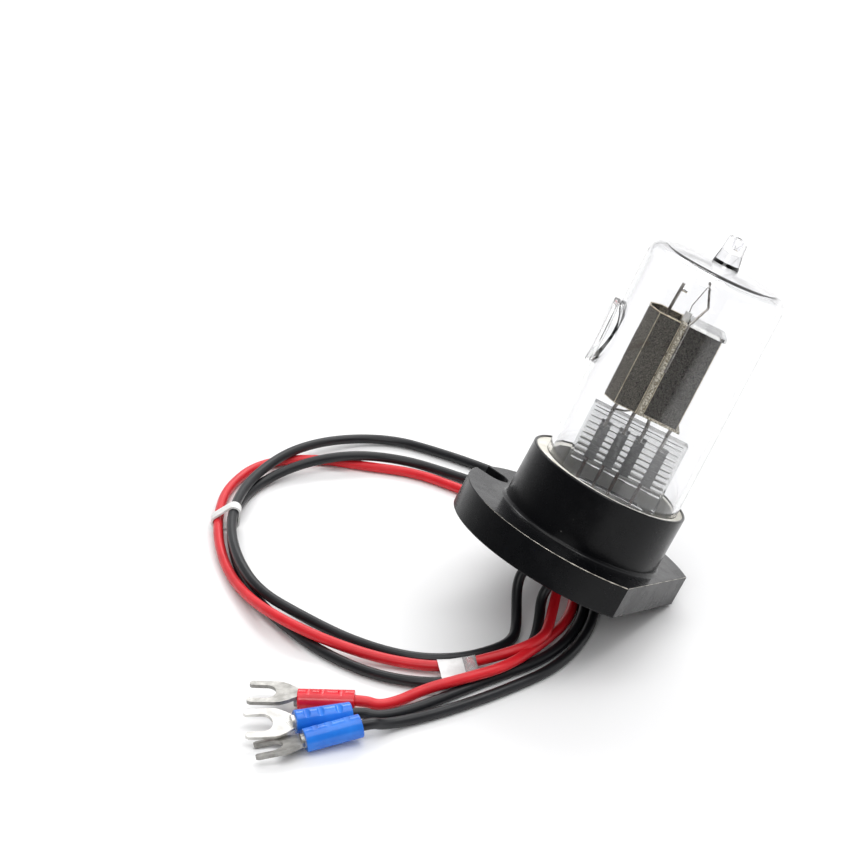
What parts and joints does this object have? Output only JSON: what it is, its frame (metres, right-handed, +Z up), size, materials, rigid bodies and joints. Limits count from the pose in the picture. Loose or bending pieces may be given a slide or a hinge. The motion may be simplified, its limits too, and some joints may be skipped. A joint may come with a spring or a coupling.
{
  "type": "deuterium lamp",
  "caption": "Glass bulb with a side window port and a broken exhaust tip, on a black flanged collar base, lying tipped with its coiled insulated leads ending in fork terminals.",
  "frame": {"origin": "on the table, below the middle of the lamp's body (bulb and base, without its leads)", "axes": "+Z up from the table; the lamp lies tipped 30 degrees on its flange's edge, its bulb towards +X and +Y; +X to the right in the picture, +Y away from it"},
  "size_m": [0.1215, 0.1281, 0.0804],
  "materials": {
    "black_metal": "black anodised, satin",
    "cement": "matt",
    "clear_glass": "clear",
    "press_glass": "ribbed, cloudy",
    "seal_foil_metal": "dull foil",
    "lead_wire_metal": "satin",
    "oxidised_wire": "reddish brown oxide",
    "shield_metal": "darkened nickel",
    "dark_shield": "dark, heat-stained",
    "insulator": "matt",
    "mica": "clear plate",
    "cathode_metal": "white coated",
    "white_ceramic": "matt",
    "potting": "matt",
    "black_insulation": "satin",
    "red_insulation": "satin",
    "red_sleeve": "gloss",
    "blue_sleeve": "gloss",
    "tinned_copper": "bright tin",
    "white_tape": "satin",
    "label_film": "satin"
  },
  "bodies": {
    "root": {"anode": "seal_foil_metal", "aperture_plate": "shield_metal", "base": "black_metal", "cathode_coil": "cathode_metal", "cathode_leg": "lead_wire_metal", "cement_ring": "cement", "ceramic_bead": "white_ceramic", "crimp_black_1": "tinned_copper", "crimp_black_2": "tinned_copper", "crimp_red": "tinned_copper", "fine_wire": "lead_wire_metal", "fork_blue_1": "tinned_copper", "fork_blue_2": "tinned_copper", "fork_red": "tinned_copper", "front_floor": "shield_metal", "front_lid": "shield_metal", "front_shield": "shield_metal", "getter": "lead_wire_metal", "getter_post": "lead_wire_metal", "glass_envelope": "clear_glass", "igniter_wire": "lead_wire_metal", "inner_lead_1": "lead_wire_metal", "inner_lead_2": "lead_wire_metal", "inner_lead_3": "lead_wire_metal", "inner_lead_4": "lead_wire_metal", "insulator_plate": "insulator", "label_sleeve": "label_film", "lead_black_1": "black_insulation", "lead_black_2": "black_insulation", "lead_red": "red_insulation", "link_wire": "lead_wire_metal", "outer_lead_1": "oxidised_wire", "outer_lead_2": "oxidised_wire", "outer_lead_3": "oxidised_wire", "outer_lead_4": "oxidised_wire", "potting_plug": "potting", "pressed_stem": "press_glass", "rear_bottom_plate": "insulator", "rear_shield": "dark_shield", "rear_top_plate": "mica", "seal_foil_1": "seal_foil_metal", "seal_foil_2": "seal_foil_metal", "seal_foil_3": "seal_foil_metal", "seal_foil_4": "seal_foil_metal", "side_window": "clear_glass", "sleeve_blue_1": "blue_sleeve", "sleeve_blue_2": "blue_sleeve", "sleeve_red": "red_sleeve", "tie_strap": "white_tape"}
  },
  "joints": []
}
